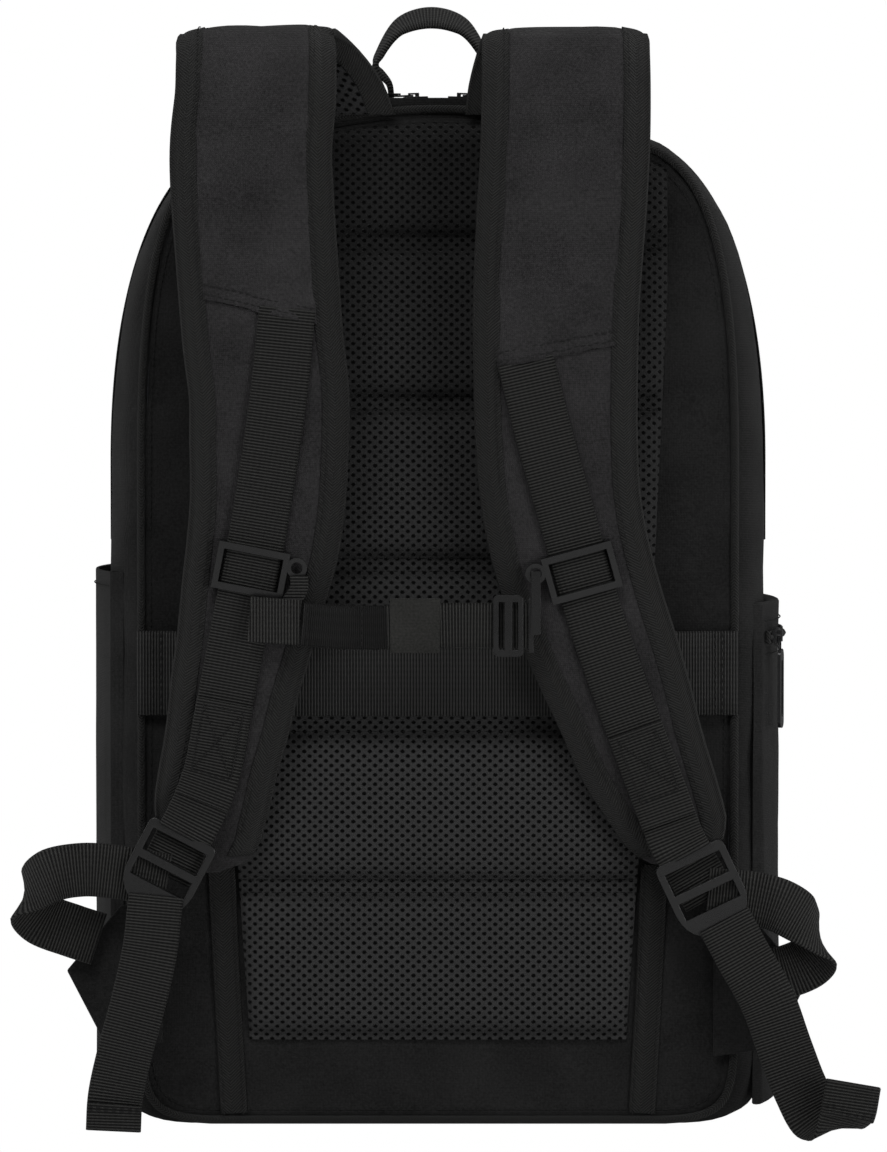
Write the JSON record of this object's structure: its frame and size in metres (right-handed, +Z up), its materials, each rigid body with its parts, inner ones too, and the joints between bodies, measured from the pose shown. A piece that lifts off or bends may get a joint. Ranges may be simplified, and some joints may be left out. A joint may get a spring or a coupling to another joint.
{
  "type": "school backpack",
  "caption": "School backpack with padded mesh back, contoured shoulder straps, chest strap, side pockets and a fold-down main compartment.",
  "frame": {"origin": "centre of the base on the ground", "axes": "+Z up along the back, -Y out of the harness side, +X to the right of someone looking at the harness"},
  "size_m": [0.386, 0.2443, 0.506],
  "materials": {
    "shell_fabric": "woven polyester, matt black",
    "lining": "grey lining cloth",
    "stiffener": "plain sheet",
    "foam": "closed-cell foam in cloth",
    "spacer_mesh": "knitted spacer mesh with small holes",
    "binding": "twill binding tape",
    "strap_fabric": "plain woven cloth",
    "webbing": "ribbed webbing",
    "buckle_plastic": "moulded, satin",
    "zip_tape": "coil zip on tape",
    "zip_metal": "black enamel"
  },
  "bodies": {
    "bag": {"rear_shell": "shell_fabric", "lower_shell": "shell_fabric", "back_board": "stiffener", "base_board": "stiffener", "laptop_sleeve": "lining", "sleeve_strap": "webbing", "back_pad_1": "foam", "back_pad_2": "foam", "back_pad_3": "foam", "back_pad_4": "foam", "back_pad_5": "foam", "back_pad_6": "foam", "mesh_panel": "spacer_mesh", "yoke_band": "shell_fabric", "panel_piping": "binding", "rail_tape_left": "webbing", "rail_tape_right": "webbing", "luggage_band": "webbing", "bottle_pocket": "shell_fabric", "zip_pocket": "shell_fabric", "side_zip_chain": "zip_tape", "front_pocket": "shell_fabric", "front_zip_chain": "zip_tape", "main_zip_rear": "zip_tape", "handle_anchor": "shell_fabric", "wing_tab_left": "shell_fabric", "wing_tab_right": "shell_fabric", "adjust_webbing_left": "webbing", "adjust_webbing_right": "webbing"},
    "front_flap": {"front_flap": "shell_fabric", "main_zip_front": "zip_tape"},
    "main_slider_left": {"main_slider_left": "zip_metal"},
    "main_slider_right": {"main_slider_right": "zip_metal"},
    "main_pull_left": {"main_pull_left": "zip_metal"},
    "main_pull_right": {"main_pull_right": "zip_metal"},
    "side_slider": {"side_slider": "zip_metal"},
    "side_pull": {"side_pull": "zip_metal"},
    "front_slider": {"front_slider": "zip_metal"},
    "front_pull": {"front_pull": "zip_metal"},
    "handle": {"carry_handle": "webbing"},
    "strap_left": {"shoulder_pad_left": "strap_fabric", "shoulder_webbing_left": "webbing"},
    "strap_right": {"shoulder_pad_right": "strap_fabric", "shoulder_webbing_right": "webbing"},
    "lock_left": {"ladder_lock_left": "buckle_plastic", "tail_left": "webbing"},
    "lock_right": {"ladder_lock_right": "buckle_plastic", "tail_right": "webbing"},
    "chest_slider_left": {"chest_slider_left": "buckle_plastic", "chest_end_fold": "webbing", "eyelet_loop": "webbing"},
    "chest_slider_right": {"chest_slider_right": "buckle_plastic"},
    "chest_strap": {"chest_webbing": "webbing", "elastic_keeper": "webbing", "chest_adjuster": "buckle_plastic"},
    "chest_hook": {"chest_hook": "buckle_plastic", "hook_webbing": "webbing"}
  },
  "joints": [
    {"name": "flap_fold", "type": "hinge", "parent": "bag", "child": "front_flap", "pos_m": [0, 0.075, 0.256], "axis": [-1, 0, 0], "range_deg": [0, 55]},
    {"name": "main_slider_left_travel", "type": "hinge", "parent": "front_flap", "child": "main_slider_left", "pos_m": [0, -0.03, 0.187], "axis": [0, 1, 0], "range_deg": [-16, 0]},
    {"name": "main_slider_right_travel", "type": "hinge", "parent": "front_flap", "child": "main_slider_right", "pos_m": [0, -0.03, 0.187], "axis": [0, 1, 0], "range_deg": [0, 16]},
    {"name": "main_pull_left_swing", "type": "hinge", "parent": "main_slider_left", "child": "main_pull_left", "pos_m": [-0.01158, -0.03, 0.46631], "axis": [0, 1, 0], "range_deg": [0, 110]},
    {"name": "main_pull_right_swing", "type": "hinge", "parent": "main_slider_right", "child": "main_pull_right", "pos_m": [0.01158, -0.03, 0.46631], "axis": [0, -1, 0], "range_deg": [0, 110]},
    {"name": "handle_swing", "type": "hinge", "parent": "bag", "child": "handle", "pos_m": [-0.003, -0.058, 0.4765], "axis": [-1, 0, 0], "range_deg": [-15, 25]},
    {"name": "strap_left_swing", "type": "hinge", "parent": "bag", "child": "strap_left", "pos_m": [-0.054, -0.086, 0.455], "axis": [-1, 0, 0], "range_deg": [0, 18], "deforming": ["adjust_webbing_left"]},
    {"name": "strap_right_swing", "type": "hinge", "parent": "bag", "child": "strap_right", "pos_m": [0.049, -0.086, 0.455], "axis": [-1, 0, 0], "range_deg": [0, 18], "deforming": ["adjust_webbing_right"]},
    {"name": "lock_left_tilt", "type": "hinge", "parent": "strap_left", "child": "lock_left", "pos_m": [-0.1135, -0.114, 0.1335], "axis": [-0.8854, 0, 0.4648], "range_deg": [0, 35]},
    {"name": "lock_right_tilt", "type": "hinge", "parent": "strap_right", "child": "lock_right", "pos_m": [0.112, -0.114, 0.124], "axis": [-0.9033, 0, -0.4289], "range_deg": [0, 35]},
    {"name": "chest_slider_left_travel", "type": "slide", "parent": "strap_left", "child": "chest_slider_left", "axis": [-0.1937, 0.1099, -0.9749], "range_m": [-0.012, 0.012]},
    {"name": "chest_slider_right_travel", "type": "slide", "parent": "strap_right", "child": "chest_slider_right", "axis": [0.2682, 0.1081, -0.9573], "range_m": [-0.012, 0.012]},
    {"name": "chest_strap_swing", "type": "hinge", "parent": "chest_slider_left", "child": "chest_strap", "pos_m": [-0.06, -0.13238, 0.2297], "axis": [0, 0, -1], "range_deg": [0, 100]},
    {"name": "chest_hook_travel", "type": "slide", "parent": "chest_strap", "child": "chest_hook", "axis": [1, 0, 0], "range_m": [-0.0058, 0.0058]},
    {"name": "side_slider_travel", "type": "hinge", "parent": "bag", "child": "side_slider", "pos_m": [-0.064, 0.005, 0.22], "axis": [0, 0, 1], "range_deg": [0, 25]},
    {"name": "side_pull_swing", "type": "hinge", "parent": "side_slider", "child": "side_pull", "pos_m": [0.15524, -0.05211, 0.22], "axis": [-0.2521, -0.9677, 0], "range_deg": [0, 80]},
    {"name": "front_slider_travel", "type": "slide", "parent": "bag", "child": "front_slider", "axis": [1, 0, 0], "range_m": [0, 0.148]},
    {"name": "front_pull_swing", "type": "hinge", "parent": "front_slider", "child": "front_pull", "pos_m": [-0.074, 0.10495, 0.188], "axis": [1, 0, 0], "range_deg": [0, 80]}
  ],
  "couplings": [
    {"joint": "main_slider_left_travel", "follows": "flap_fold", "ratio": -0.2908},
    {"joint": "main_slider_right_travel", "follows": "flap_fold", "ratio": 0.2908},
    {"joint": "strap_right_swing", "follows": "strap_left_swing", "ratio": 1},
    {"joint": "chest_slider_right_travel", "follows": "chest_slider_left_travel", "ratio": 1},
    {"joint": "chest_hook_travel", "follows": "chest_slider_left_travel", "ratio": 0.4619}
  ]
}
